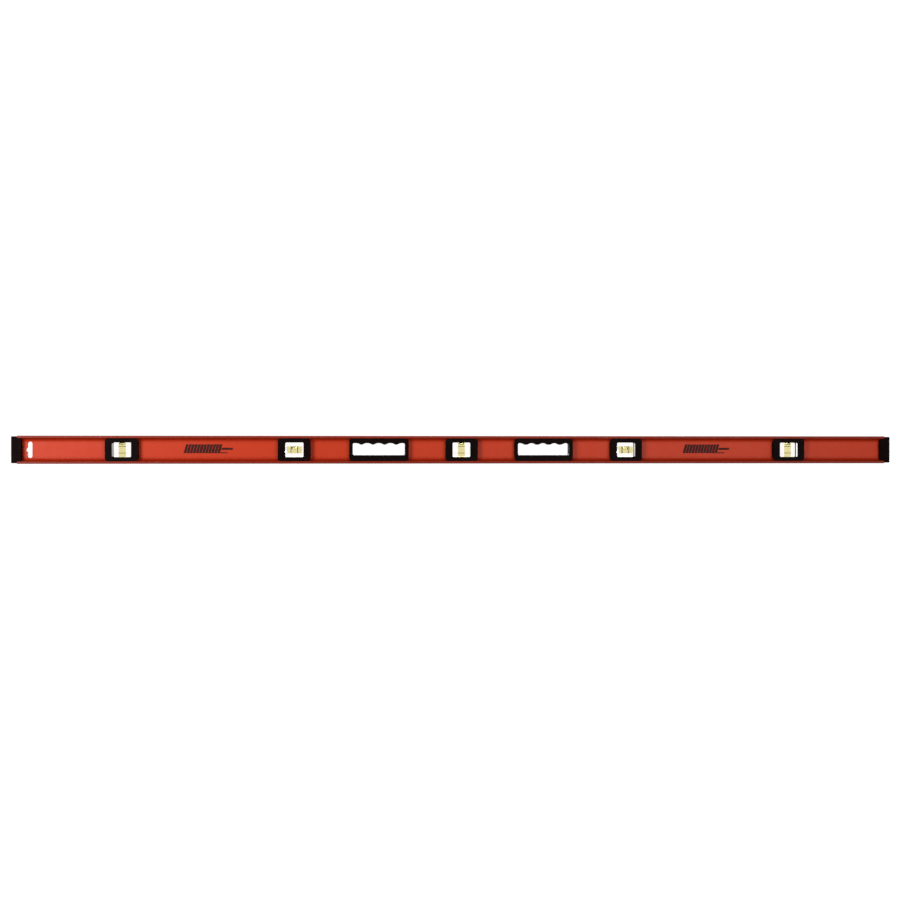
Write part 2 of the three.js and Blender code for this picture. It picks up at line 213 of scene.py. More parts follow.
ARC_STEPS = 8
ROUND_STEPS = 48
TOOTH_STEPS = 96
SHARP_ANGLE = math.radians(32)
SLIVER = 0.001  # a Boolean's points closer than this are one

# ---- Places taken from the frame ----

STATIONS = {
    name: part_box(f"{name}_vial_block")
    for name in ("plumb_left", "level_left", "plumb_centre", "level_right", "plumb_right")
}
GRIPS = {end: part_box(f"hand_hold_{end}_front") for end in ("left", "right")}
HEIGHT = (cad_high.z - cad_low.z) / MM
MIDDLE = HEIGHT / 2
HALF_WIDTH = (cad_high.y - cad_low.y) / MM / 2
RAIL_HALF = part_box("rail")[1].x / MM
housing_low, housing_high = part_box("plumb_centre_back_frame")
HOUSING_FACE = housing_high.y / MM
FILLET_Y = WEB_FACE + FILLET
FILLET_Z = (
    FLANGE_EDGE
    + (HALF_WIDTH - FLANGE_ROUND - FILLET_Y) * math.tan(FLANGE_SLOPE)
    + FILLET / math.cos(FLANGE_SLOPE)
)


def centre_of(box):
    return (box[0] + box[1]) / 2


def size_of(box):
    """The box's size in millimetres."""
    return (box[1] - box[0]) / MM


# ---- Outlines, as lists of u, v points ----


def arc(u, v, radius, start, end, steps=ARC_STEPS):
    """Points on a circle about u, v, from the start angle to the end angle."""
    angles = [start + (end - start) * i / steps for i in range(steps + 1)]
    return [(u + radius * math.cos(a), v + radius * math.sin(a)) for a in angles]


def quarter_turn(first=0):
    """The angles of a quarter turn's steps, from the step numbered first."""
    return [QUARTER * i / ARC_STEPS for i in range(first, ARC_STEPS + 1)]


def rounded_rectangle(width, height, corner):
    u = width / 2 - corner
    v = height / 2 - corner
    points = []
    for turn, (du, dv) in enumerate(((u, v), (-u, v), (-u, -v), (u, -v))):
        points += arc(du, dv, corner, turn * QUARTER, (turn + 1) * QUARTER)
    return points


def shifted(outline, u=0.0, v=0.0):
    return [(u + a, v + b) for a, b in outline]


# ---- Mesh building ----


def loft(rings, closed=False):
    """A closed mesh of quads between rings of equally many points, given in millimetres."""
    bm = bmesh.new()
    rows = [[bm.verts.new(Vector(point) * MM) for point in ring] for ring in rings]
    pairs = list(zip(rows, rows[1:]))
    if closed:
        pairs.append((rows[-1], rows[0]))
    else:
        bm.faces.new(rows[0])
        bm.faces.new(rows[-1])
    for a, b in pairs:
        for i in range(len(a)):
            j = (i + 1) % len(a)
            bm.faces.new((a[i], a[j], b[j], b[i]))
    bmesh.ops.recalc_face_normals(bm, faces=bm.faces)
    mesh = bpy.data.meshes.new("loft")
    bm.to_mesh(mesh)
    bm.free()
    return mesh


def prism_y(points, y0, y1):
    return loft([[(u, y, v) for u, v in points] for y in (y0, y1)])


def turned(profile, closed=False):
    """A solid turned about Y, from a profile of radius and distance along Y. Its ends are rings."""
    rings = []
    for radius, along in profile:
        ring = arc(0, 0, radius, 0, 2 * math.pi, ROUND_STEPS)[:-1]
        rings.append([(u, along, v) for u, v in ring])
    return loft(rings, closed)


def joined(meshes):
    """One mesh of several, each kept as its own closed shell."""
    bm = bmesh.new()
    for mesh in meshes:
        bm.from_mesh(mesh)
    result = bpy.data.meshes.new("joined")
    bm.to_mesh(result)
    bm.free()
    return result


def without_slivers(mesh):
    """The mesh without the faces of no area that a Boolean leaves where two faces touch."""
    bm = bmesh.new()
    bm.from_mesh(mesh)
    bmesh.ops.remove_doubles(bm, verts=bm.verts, dist=SLIVER * MM)
    bmesh.ops.dissolve_degenerate(bm, edges=bm.edges, dist=SLIVER * MM)
    bm.to_mesh(mesh)
    bm.free()
    return mesh


def combined(mesh, others, operation):
    """The mesh after a Boolean operation with each of the others."""
    body = bpy.data.objects.new("boolean_body", mesh)
    bpy.context.scene.collection.objects.link(body)
    tools = []
    for other in others:
        tool = bpy.data.objects.new("boolean_tool", other)
        bpy.context.scene.collection.objects.link(tool)
        tools.append(tool)
        modifier = body.modifiers.new("boolean", "BOOLEAN")
        modifier.operation = operation
        modifier.solver = "EXACT"
        modifier.object = tool
    depsgraph = bpy.context.evaluated_depsgraph_get()
    result = bpy.data.meshes.new_from_object(body.evaluated_get(depsgraph))
    for used in (body, *tools):
        bpy.data.objects.remove(used)
    return without_slivers(result)


def cut(mesh, cutters):
    return combined(mesh, cutters, "DIFFERENCE")


def smoothed(mesh):
    mesh.shade_smooth()
    mesh.set_sharp_from_angle(angle=SHARP_ANGLE)
    return mesh


def moved(mesh, matrix):
    copy = mesh.copy()
    copy.transform(matrix)
    return copy


def place(name, mesh, material, body="level", at=(0, 0, 0), nodes=()):
    """A finished piece of the object, riding on a body and standing for CAD nodes."""
    piece = bpy.data.objects.new(name, mesh)
    bpy.context.scene.collection.objects.link(piece)
    piece.location = at
    if not mesh.materials:
        mesh.materials.append(material)
    normals = piece.modifiers.new("even_shading", "WEIGHTED_NORMAL")
    normals.keep_sharp = True
    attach(piece, body)
    if nodes:
        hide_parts(*nodes)
    return piece


# ---- Materials ----


class Nodes:
    """The node tree of a new material or world, with short ways to add to it."""

    def __init__(self, owner, shader="Principled BSDF"):
        owner.use_nodes = True
        self.owner = owner
        self.tree = owner.node_tree
        self.shader = self.tree.nodes[shader]

    def link(self, output, socket):
        self.tree.links.new(output, socket)

    def constant(self, socket, value):
        self.shader.inputs[socket].default_value = value

    def position(self):
        return self.tree.nodes.new("ShaderNodeTexCoord").outputs["Object"]

    def axis(self, name):
        """How far a point lies along X, Y or Z, in metres."""
        node = self.tree.nodes.new("ShaderNodeSeparateXYZ")
        self.link(self.position(), node.inputs["Vector"])
        return node.outputs[name]

    def noise(self, scale, detail=EVEN, stretch=(1, 1, 1)):
        mapping = self.tree.nodes.new("ShaderNodeMapping")
        mapping.inputs["Scale"].default_value = stretch
        self.link(self.position(), mapping.inputs["Vector"])
        noise = self.tree.nodes.new("ShaderNodeTexNoise")
        noise.inputs["Scale"].default_value = scale
        noise.inputs["Detail"].default_value = detail
        self.link(mapping.outputs["Vector"], noise.inputs["Vector"])
        return noise.outputs["Fac"]

    def ramp(self, value, low, high, start=0.0, end=1.0):
        """value from low to high, mapped to start to end and held there."""
        node = self.tree.nodes.new("ShaderNodeMapRange")
        node.inputs["From Min"].default_value = low
        node.inputs["From Max"].default_value = high
        node.inputs["To Min"].default_value = start
        node.inputs["To Max"].default_value = end
        self.link(value, node.inputs["Value"])
        return node.outputs["Result"]

    def math(self, operation, a, b=0.0):
        node = self.tree.nodes.new("ShaderNodeMath")
        node.operation = operation
        for socket, value in zip(node.inputs, (a, b)):
            if isinstance(value, float):
                socket.default_value = value
            else:
                self.link(value, socket)
        return node.outputs["Value"]

    def mix(self, factor, a, b):
        """Colour a where factor is 0, and b where it is 1."""
        node = self.tree.nodes.new("ShaderNodeMix")
        node.data_type = "RGBA"
        self.link(factor, node.inputs["Factor"])
        colours = [socket for socket in node.inputs if socket.type == "RGBA"]
        for socket, value in zip(colours, (a, b)):
            if isinstance(value, tuple):
                socket.default_value = (*value, 1)
            else:
                self.link(value, socket)
        return next(socket for socket in node.outputs if socket.type == "RGBA")

    def seen(self):
        """1 for what the camera sees, straight or through clear pieces, and 0 for other light."""
        rays = self.tree.nodes.new("ShaderNodeLightPath")
        return self.math("MAXIMUM", rays.outputs["Is Camera Ray"], rays.outputs["Is Transmission Ray"])

    def colour(self, output):
        self.link(output, self.shader.inputs["Base Color"])

    def roughness(self, scale, low, high):
        """Roughness from low to high, as a noise of this scale varies."""
        value = self.ramp(self.noise(scale), *NOISE_RANGE, low, high)
        self.link(value, self.shader.inputs["Roughness"])

    def bump(self, finish, stretch=(1, 1, 1)):
        """A fine relief with the finish's scale, strength and depth."""
        node = self.tree.nodes.new("ShaderNodeBump")
        node.inputs["Strength"].default_value = finish["strength"]
        node.inputs["Distance"].default_value = finish["depth"] * MM
        self.link(self.noise(finish["scale"], COARSE, stretch), node.inputs["Height"])
        self.link(node.outputs["Normal"], self.shader.inputs["Normal"])


def new_material(name):
    return Nodes(bpy.data.materials.new(name))


def paint_material():
    """Red enamel on the extrusion: slight orange peel, painted shade over the fillets, slopes and flange
    edges, small edge scuffs.
    """
    m = new_material("red_enamel")
    tone = m.mix(m.noise(PAINT["patches"], PAINT["patch_detail"], ALONG), PAINT["tone"], PAINT["lighter"])
    # Painted shade: the paint goes a deeper red from the fillets out to the flanges.
    rise = m.math("ABSOLUTE", m.math("SUBTRACT", m.axis("Z"), MIDDLE * MM))
    start = MIDDLE - FILLET_Z - FLANGE_SHADE["before_fillet"]
    full = MIDDLE - FLANGE_EDGE - FLANGE_ROUND - FLANGE_SHADE["before_edge"]
    tone = m.mix(m.ramp(rise, start * MM, full * MM), tone, PAINT["flange"])
    # Painted shade on the flanges' front edges; the same mask also places the scuffs, which are wear.
    depth = m.math("ABSOLUTE", m.axis("Y"))
    start = HALF_WIDTH - EDGE_SHADE["start"]
    full = HALF_WIDTH - EDGE_SHADE["full"]
    edge = m.ramp(depth, start * MM, full * MM)
    tone = m.mix(edge, tone, PAINT["edge"])
    scuff = m.ramp(m.noise(PAINT["scuffs"], PAINT["scuff_detail"], SCUFF_ALONG), *SCUFF_RANGE)
    m.colour(m.mix(m.math("MULTIPLY", scuff, edge), tone, PAINT["scuff"]))
    m.roughness(PAINT["sheen"], *PAINT["roughness"])
    m.constant("Specular IOR Level", PAINT["specular"])
    m.bump(ORANGE_PEEL)
    return m.owner


def moulded_material(name, finish):
    """Black plastic or rubber with a fine grain and a little dust."""
    m = new_material(name)
    dust = m.ramp(m.noise(MOULDED["dust"], FINE), *DUST_RANGE)
    m.colour(m.mix(dust, finish["tone"], finish["dust"]))
    m.roughness(MOULDED["sheen"], *finish["roughness"])
    m.constant("Specular IOR Level", MOULDED["specular"])
    m.bump(finish["bump"])
    return m.owner


def steel_material():
    """Zinc-plated steel with a fine turned grain."""
    m = new_material("plated_steel")
    m.constant("Metallic", 1.0)
    m.colour(m.mix(m.noise(STEEL["patches"]), STEEL["tone"], STEEL["lighter"]))
    m.roughness(STEEL["sheen"], *STEEL["roughness"])
    m.bump(TURNING_MARKS, TURNED)
    return m.owner


def clear_material(name, finish):
    """A clear solid or liquid, a little deeper in tone in places."""
    m = new_material(name)
    m.constant("Transmission Weight", 1.0)
    m.constant("IOR", finish["ior"])
    m.colour(m.mix(m.noise(CLEAR["patches"], COARSE), finish["tone"], finish["deeper"]))
    m.roughness(CLEAR["sheen"], 0.0, finish["roughness"])
    return m.owner


def bubble_material():
    """Air inside the liquid, so light bends the other way and the rim goes dark."""
    m = new_material("air_bubble")
    glass = m.tree.nodes.new("ShaderNodeBsdfGlass")
    glass.inputs["IOR"].default_value = AIR["ior"]
    glass.inputs["Roughness"].default_value = 0.0
    m.link(m.mix(m.noise(AIR["patches"]), AIR["tone"], AIR["deeper"]), glass.inputs["Color"])
    m.tree.nodes.remove(m.shader)
    m.link(glass.outputs["BSDF"], m.tree.nodes["Material Output"].inputs["Surface"])
    return m.owner


def ink_material(name, finish):
    m = new_material(name)
    m.colour(m.mix(m.noise(INK["patches"], FINE), finish["tone"], finish["lighter"]))
    m.roughness(INK["sheen"], *INK["roughness"])
    m.constant("Specular IOR Level", INK["specular"])
    return m.owner


# ---- The beam ----


def beam_section():
    """The I-beam's outline as y, z pairs, one quarter mirrored into four."""
    y = HALF_WIDTH - FLANGE_ROUND
    corner = arc(y, FLANGE_ROUND, FLANGE_ROUND, -QUARTER, 0)
    inner = arc(y, FLANGE_EDGE - FLANGE_ROUND, FLANGE_ROUND, 0, QUARTER + FLANGE_SLOPE)
    fillet = arc(FILLET_Y, FILLET_Z, FILLET, 3 * QUARTER - FLANGE_SLOPE, 2 * QUARTER)
    lower = corner + inner + fillet
    right = lower + [(u, HEIGHT - v) for u, v in reversed(lower)]
    return right + [(-u, v) for u, v in reversed(right)]


def hang_hole_outline(grow):
    """The slot with its round notch, widened by grow."""
    half = HANG_HOLE["width"] / 2 + grow
    radius = HANG_NOTCH["radius"] + grow
    centre = HANG_NOTCH["radius"] - HANG_NOTCH["reach"]
    reach = math.sqrt(radius**2 - (half + centre) ** 2)
    slot = rounded_rectangle(2 * half, HANG_HOLE["height"] + 2 * grow, HANG_HOLE["corner"] + grow)
    split = 2 * (ARC_STEPS + 1)
    angle = math.atan2(reach, -half - centre)
    notch = arc(centre, 0, radius, angle, 2 * math.pi - angle, 2 * ARC_STEPS)
    return slot[:split] + notch + slot[split:]


def hang_hole_cutter():
    """Cuts the hole and chamfers it at both faces of the web."""
    opening = next(o for o in frame["record"]["physics"]["openings"] if o["name"] == "hang_hole")
    x = (opening["box_m"][0][0] + opening["box_m"][1][0]) / 2 / MM
    levels = (
        (-HALF_WIDTH, HOLE_CHAMFER),
        (-WEB_FACE, HOLE_CHAMFER),
        (HOLE_CHAMFER - WEB_FACE, 0),
        (WEB_FACE - HOLE_CHAMFER, 0),
        (WEB_FACE, HOLE_CHAMFER),
        (HALF_WIDTH, HOLE_CHAMFER),
    )
    return loft([[(x + u, y, MIDDLE + v) for u, v in hang_hole_outline(grow)] for y, grow in levels])


def web_cutter(outline, box):
    """Cuts an outline about the middle of a box right through the web."""
    points = shifted(outline, centre_of(box).x / MM, MIDDLE)
    return prism_y(points, -HALF_WIDTH, HALF_WIDTH)


def make_beam(material):
    section = beam_section()
    mesh = loft([[(x, y, z) for y, z in section] for x in (-RAIL_HALF, RAIL_HALF)])
    cutters = [hang_hole_cutter()]
    for box in STATIONS.values():
        size = size_of(box)
        width = size.x + 2 * BLOCK_CLEARANCE
        height = size.z + 2 * BLOCK_CLEARANCE
        cutters.append(web_cutter(rounded_rectangle(width, height, BLOCK_CUT_CORNER), box))
    for box in GRIPS.values():
        cutters.append(web_cutter(opening_outline(SLEEVE_WALL + GAP, straight=True), box))
    place("beam", smoothed(cut(mesh, cutters)), material, nodes=["rail"])


# ---- What fills the beam's recess ----


def recess_half_height(y):
    """From the beam's middle to the flange's inner face, a gap short of it, y from the web."""
    if y >= FILLET_Y - FILLET * math.sin(FLANGE_SLOPE):
        run = HALF_WIDTH - FLANGE_ROUND - y
        height = FLANGE_EDGE + run * math.tan(FLANGE_SLOPE) + GAP / math.cos(FLANGE_SLOPE)
        return MIDDLE - height
    radius = FILLET - GAP
    return MIDDLE - FILLET_Z + math.sqrt(max(radius**2 - (FILLET_Y - y) ** 2, 0))


def recess_levels():
    """Distances from the mid-plane at which a filling piece's outline is drawn."""
    start = WEB_FACE + GAP
    fillet = [start + (FILLET_Y - start) * (1 - math.cos(angle)) for angle in quarter_turn()]
    return [*fillet, HOUSING_FACE - HOUSING_EDGE]


def filling_rings(draw, width, height):
    """Outlines of a piece that fills the recess, from the web to its rounded front edge."""
    rings = []
    for y in recess_levels():
        high = min(height, 2 * recess_half_height(y))
        rings.append((y, draw(width, high, min(HOUSING_CORNER, high / 2 - GAP))))
    for angle in quarter_turn(first=1):
        y = HOUSING_FACE - HOUSING_EDGE * (1 - math.sin(angle))
        inset = HOUSING_EDGE * (1 - math.cos(angle))
        rings.append((y, draw(width - 2 * inset, height - 2 * inset, HOUSING_CORNER - inset)))
    return rings


def at_side(rings, side):
    """Rings of x, y, z points about the beam's middle. side is -1 for the front of the web."""
    return [[(u, side * y, MIDDLE + v) for u, v in outline] for y, outline in rings]


def screw_pockets(places):
    """Cutters for the sunk seats of screw heads, at places in metres."""
    seat = HOUSING_FACE - SCREW_SINK
    pocket = turned([(SCREW_SEAT, seat), (SCREW_SEAT, HOUSING_FACE + BEZEL)])
    return [moved(pocket, Matrix.Translation((spot.x, 0, spot.z))) for spot in places]


# ---- Vial housings ----


def window_cutter(side):
    """Cuts the window, and chamfers it at the housing's face."""
    levels = (
        (0, 0),
        (HOUSING_FACE - WINDOW["chamfer"], 0),
        (HOUSING_FACE, WINDOW["chamfer"]),
        (HOUSING_FACE + BEZEL, WINDOW["chamfer"]),
    )
    rings = []
    for y, grow in levels:
        width = WINDOW["width"] + 2 * grow
        height = WINDOW["height"] + 2 * grow
        rings.append((y, rounded_rectangle(width, height, WINDOW["corner"] + grow)))
    return loft(at_side(rings, side))


def housing_mesh(side, screws):
    """Half of the housing that clamps a vial block, centred on x = 0."""
    size = size_of((housing_low, housing_high))
    block = size_of(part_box("plumb_centre_vial_block"))
    body = loft(at_side(filling_rings(rounded_rectangle, size.x, size.z), side))
    pocket = rounded_rectangle(block.x + 2 * GAP, block.z + 2 * GAP, GAP)
    relief_width = block.x + 2 * (BLOCK_CLEARANCE + HOUSING_RELIEF["beyond"])
    relief = rounded_rectangle(relief_width, HEIGHT, GAP)
    cutters = [
        window_cutter(side),
        prism_y(shifted(pocket, v=MIDDLE), 0, side * (HOUSING_FACE - BEZEL)),
        prism_y(shifted(relief, v=MIDDLE), 0, side * HOUSING_RELIEF["depth"]),
    ]
    return smoothed(cut(body, cutters + screw_pockets(screws)))


def make_housings(material):
    origin = centre_of(STATIONS["plumb_centre"])
    heads = [centre_of(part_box(f"plumb_centre_frame_screw_{end}")) for end in ("left", "right")]
    screws = [Vector((head.x - origin.x, 0, MIDDLE * MM)) for head in heads]
    halves = {"front": housing_mesh(-1, []), "back": housing_mesh(1, screws)}
    for name, box in STATIONS.items():
        at = (centre_of(box).x, 0, 0)
        for half, mesh in halves.items():
            node = f"{name}_{half}_frame"
            place(f"{name}_{half}_housing", mesh, material, at=at, nodes=[node])


# ---- Hand holds ----


def tooth_edge(u):
    """The height of the opening's upper edge at u: four rounded teeth between five hollows."""
    if abs(u) >= TOOTH["count"] * TOOTH["pitch"] / 2:
        return OPENING["top"]
    wave = (1 - math.cos(2 * math.pi * u / TOOTH["pitch"])) / 2
    return OPENING["top"] - TOOTH["depth"] * wave ** TOOTH["sharpness"]


def ruled_outline(half_width, top, bottom, corner, edge):
    """A rounded outline with extra points along its top, at the heights that edge gives, and its bottom."""
    u = half_width - corner
    along = [u - 2 * u * i / TOOTH_STEPS for i in range(1, TOOTH_STEPS)]
    points = arc(u, top - corner, corner, 0, QUARTER)
    points += [(a, edge(a)) for a in along]
    points += arc(-u, top - corner, corner, QUARTER, 2 * QUARTER)
    points += arc(-u, bottom + corner, corner, 2 * QUARTER, 3 * QUARTER)
    points += [(-a, bottom) for a in along]
    points += arc(u, bottom + corner, corner, 3 * QUARTER, 4 * QUARTER)
    return points


def opening_outline(wall, straight=False):
    """The finger opening, wall outside its edge. straight leaves the teeth out."""
    half_width = OPENING["width"] / 2 + wall
    top = OPENING["top"] + wall
    bottom = OPENING["bottom"] - wall
    corner = OPENING["corner"] + wall

    def edge(u):
        return top if straight else tooth_edge(u) + wall

    return ruled_outline(half_width, top, bottom, corner, edge)


def bezel_outline(width, height, corner):
    """A rounded rectangle with as many points as the finger opening."""
    top = height / 2
    return ruled_outline(width / 2, top, -top, corner, lambda u: top)


def grip_mesh(side, width, height):
    """Half of a hand hold: a bezel in the recess, and a scalloped sleeve through the web."""
    rings = filling_rings(bezel_outline, width, height)
    for angle in quarter_turn():
        y = HOUSING_FACE - OPENING["edge"] * (1 - math.cos(angle))
        rings.append((y, opening_outline(OPENING["edge"] * (1 - math.sin(angle)))))
    sleeve = opening_outline(SLEEVE_WALL, straight=True)
    rings.append((GAP / 2, opening_outline(0)))
    rings.append((GAP / 2, sleeve))
    rings.append((WEB_FACE + GAP, sleeve))
    return smoothed(loft(at_side(rings, side), closed=True))


def make_grips(material):
    size = size_of(GRIPS["left"])
    halves = {half: grip_mesh(side, size.x, size.z) for half, side in (("front", -1), ("back", 1))}
    for end, box in GRIPS.items():
        at = (centre_of(box).x, 0, 0)
        for half, mesh in halves.items():
            node = f"hand_hold_{end}_{half}"
            place(f"grip_{end}_{half}", mesh, material, at=at, nodes=[node])


# ---- End caps ----


def prong_outline(face, inset):
    """The recess's section on one side of the web, as y, z pairs, drawn in by inset."""
    start = WEB_FACE + GAP
    shrink = 1 - 2 * inset / (HOUSING_FACE - start)
    lower = []
    for y in (*recess_levels(), HOUSING_FACE):
        across = start + inset + (y - start) * shrink
        lower.append((face * across, MIDDLE - recess_half_height(y) + inset))
    return lower + [(y, HEIGHT - z) for y, z in reversed(lower)]


def plate_mesh(side, outer, thickness, size):
    """The plate over the beam's end, rounded towards its outer face."""
    levels = [(0, 0)]
    for angle in quarter_turn():
        levels.append((thickness - CAP_ROUND * (1 - math.sin(angle)), CAP_ROUND * (1 - math.cos(angle))))
    rings = []
    for along, inset in levels:
        x = outer - side * (thickness - along)
        corner = max(CAP_CORNER - inset, GAP)
        outline = rounded_rectangle(size.y - 2 * inset, size.z - 2 * inset, corner)
        rings.append([(x, y, MIDDLE + z) for y, z in outline])
    return loft(rings)


def prong_mesh(side, face, root, tip):
    """A prong in the recess on one side of the web, from inside the plate to its chamfered tip."""
    levels = ((root, 0), (tip + side * PRONG_CHAMFER, 0), (tip, PRONG_CHAMFER))
    return loft([[(x, y, z) for y, z in prong_outline(face, inset)] for x, inset in levels])


def cap_mesh(side, box, screws):
    """An end plate with a prong into the recess on each side of the web. side is -1 for the left."""
    low, high = box
    outer = (high.x if side > 0 else low.x) / MM
    tip = (low.x if side > 0 else high.x) / MM
    thickness = abs(outer) - RAIL_HALF - GAP
    plate = plate_mesh(side, outer, thickness, size_of(box))
    root = outer - side * thickness / 2
    prongs = [prong_mesh(side, face, root, tip) for face in (-1, 1)]
    return smoothed(cut(combined(plate, prongs, "UNION"), screw_pockets(screws)))


def make_caps(material):
    for end, side in (("left", -1), ("right", 1)):
        node = f"end_cap_{end}"
        screws = [centre_of(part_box(f"{node}_screw_{level}")) for level in ("lower", "upper")]
        mesh = cap_mesh(side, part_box(node), screws)
        place(f"cap_{end}", mesh, material, nodes=[node])


# ---- Screws ----


def screw_mesh(length):
    """A pan-head screw along Y with its head at +Y, its middle at the origin."""
    top = length / 2
    under = top - SCREW_HEAD["height"]
    narrowing = SCREW_HEAD["radius"] - SCREW_HEAD["crown"]
    crown = []
    for angle in quarter_turn():
        radius = SCREW_HEAD["radius"] - narrowing * (1 - math.cos(angle))
        rise = (SCREW_HEAD["height"] - SCREW_HEAD["rim"]) * math.sin(angle)
        crown.append((radius, under + SCREW_HEAD["rim"] + rise))
    profile = [
        (SCREW_SHANK["tip"], -top),
        (SCREW_SHANK["radius"], SCREW_SHANK["taper"] - top),
        (SCREW_SHANK["radius"], under),
        (SCREW_HEAD["radius"], under),
        *crown,
    ]
    cross = []
    for width, height in (("reach", "half"), ("half", "reach")):
        corner = SCREW_CROSS["half"] / 2
        outline = rounded_rectangle(2 * SCREW_CROSS[width], 2 * SCREW_CROSS[height], corner)
        cross.append(prism_y(outline, top - SCREW_CROSS["depth"], top + SCREW_CROSS["depth"]))
    return smoothed(cut(turned(profile), cross))


def make_screws(material):
    names = sorted(node for node in frame["nodes"] if "_screw_" in node)
    mesh = screw_mesh(size_of(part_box(names[0])).y)
    for i, node in enumerate(names):
        turn = Matrix.Rotation(i * SCREW_TURN, 4, "Y")
        at = centre_of(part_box(node))
        place(f"{node}_head", moved(mesh, turn), material, at=at, nodes=[node])


# ---- Vials ----

UPRIGHT = Matrix.Rotation(QUARTER, 4, "X")  # an axis along Y turned to point up
LYING = Matrix.Rotation(-QUARTER, 4, "Z")  # an axis along Y turned to point right


def block_mesh(size):
    """A clear block with polished, bevelled edges, about its own middle."""
    bevel = BLOCK_BEVEL
    half = size.y / 2
    rings = []
    for y, inset in ((-half, bevel), (bevel - half, 0), (half - bevel, 0), (half, bevel)):
        outline = rounded_rectangle(size.x - 2 * inset, size.z - 2 * inset, bevel)
        rings.append([(u, y, v) for u, v in outline])
    return smoothed(loft(rings))


def chamber_mesh():
    """The liquid: a slightly barrel-shaped bore along Y, with its ends' edges cut back."""
    half = CHAMBER["half"]
    barrel = CHAMBER["radius"] - CHAMBER["end"]
    profile = []
    for i in range(-ARC_STEPS, ARC_STEPS + 1):
        part = i / ARC_STEPS
        profile.append((CHAMBER["radius"] - barrel * part**2, part * (half - GAP)))
    end = CHAMBER["end"] - GAP
    return smoothed(turned([(end, -half), *profile, (end, half)]))


def line_mesh(along):
    """A thin black ring around the chamber, along from the middle."""
    outer = LINE["outer"]
    inner = LINE["inner"]
    start = along - LINE["width"] / 2
    end = along + LINE["width"] / 2
    return smoothed(turned([(outer, start), (outer, end), (inner, end), (inner, start)], closed=True))


def plug_mesh(length):
    """The round plug that closes the bore, with chamfered ends."""
    radius = CHAMBER["end"] - GAP
    half = length / 2
    profile = [(radius - GAP, -half), (radius, GAP - half), (radius, half - GAP), (radius - GAP, half)]
    return smoothed(turned(profile))


def bubble_mesh(size, upright):
    """A bubble about its own middle, drawn in where it would reach past the chamber's wall."""
    bm = bmesh.new()
    bmesh.ops.create_uvsphere(bm, u_segments=ROUND_STEPS, v_segments=ROUND_STEPS // 2, radius=1.0)
    reach = CHAMBER["end"] - BUBBLE_CLEAR
    centre = reach - size.z
    for vert in bm.verts:
        fuller = [math.copysign(abs(c) ** BUBBLE_FULLNESS, c) for c in vert.co]
        spot = Vector(fuller) * size
        if upright:
            radius = math.hypot(spot.x, spot.y)
            if radius > size.x:
                spot.x *= size.x / radius
                spot.y *= size.x / radius
        else:
            across = math.hypot(spot.y, spot.z + centre)
            if across > reach:
                spot.y *= reach / across
                spot.z = (spot.z + centre) * reach / across - centre
        vert.co = spot * MM
    mesh = bpy.data.meshes.new("bubble")
    bm.to_mesh(mesh)
    bm.free()
    return smoothed(mesh)


def make_plug(name, upright, material):
    node = f"{name}_vial_plug"
    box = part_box(node)
    size = size_of(box)
    mesh = plug_mesh(size.z if upright else size.x)
    mesh = moved(mesh, UPRIGHT if upright else LYING)
    place(f"{name}_plug", mesh, material, at=centre_of(box), nodes=[node])


def make_bubble(name, upright, material):
    """The bubble on its own body. In a vial that lies level it floats against the top of the bore."""
    size = PLUMB_BUBBLE if upright else LEVEL_BUBBLE
    node = f"{name}_vial_bubble"
    at = centre_of(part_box(node))
    if not upright:
        at.z = centre_of(STATIONS[name]).z + (CHAMBER["end"] - BUBBLE_CLEAR - size.z) * MM
    mesh = bubble_mesh(size, upright)
    place(f"{name}_air", mesh, material, body=f"{name}_bubble", at=at, nodes=[node])


def make_vials(acrylic, plug, liquid, air, ink):
    block = block_mesh(size_of(STATIONS["plumb_centre"]))
    chamber = chamber_mesh()
    lines = joined([line_mesh(-LINE["place"]), line_mesh(LINE["place"])])
    for name, box in STATIONS.items():
        upright = name.startswith("plumb")
        turn = UPRIGHT if upright else LYING
        at = centre_of(box)
        vial = f"{name}_vial"
        place(f"{name}_block", block, acrylic, at=at, nodes=[f"{vial}_block"])
        place(f"{name}_liquid", moved(chamber, turn), liquid, at=at, nodes=[f"{vial}_liquid"])
        place(f"{name}_lines", moved(lines, turn), ink, at=at)
        make_plug(name, upright, plug)
        make_bubble(name, upright, air)


# ---- Printed marks ----


def slanted(u, low, high, length):
    """A mark between two heights, on the marks' common slant, which passes through u at height 0."""
    slope = MARK["slant"] / MARK["height"]
    start = u + low * slope
    end = u + high * slope
    return [(start, low), (start + length, low), (end + length, high), (end, high)]


def mark_mesh():
    """A plain row of slanted bars with two thin dashes after it, printed on the web's front."""
    half = MARK["height"] / 2
    start = -MARK["bars"] * MARK["pitch"] / 2
    outlines = [slanted(start + i * MARK["pitch"], -half, half, MARK["bar"]) for i in range(MARK["bars"])]
    for dash in MARK_DASHES:
        outlines.append(slanted(-start, dash["low"], dash["low"] + dash["height"], dash["length"]))
    return joined([prism_y(outline, -WEB_FACE - MARK["thickness"], -WEB_FACE) for outline in outlines])


def make_marks(ink):
    mesh = mark_mesh()
    for end in ("left", "right"):
        vials = [centre_of(STATIONS[f"{kind}_{end}"]).x for kind in ("plumb", "level")]
        x = sum(vials) / 2 - MARK_DASHES[0]["length"] / 2 * MM
        at = (x, 0, (MIDDLE + MARK["rise"]) * MM)
        place(f"printed_bars_{end}", mesh, ink, at=at)


# ---- Camera, light and floor ----


def make_camera():
    data = bpy.data.cameras.new("camera")
    data.lens = CAMERA_LENS_MM
    data.sensor_width = CAMERA_SENSOR_MM
    camera = bpy.data.objects.new("camera", data)
    bpy.context.scene.collection.objects.link(camera)
    camera.location = (CAMERA_SIDE, cad_low.y - CAMERA_DISTANCE, MIDDLE * MM - CAMERA_DROP)
    camera.rotation_euler = (QUARTER, 0, -CAMERA_YAW)
    bpy.context.scene.camera = camera


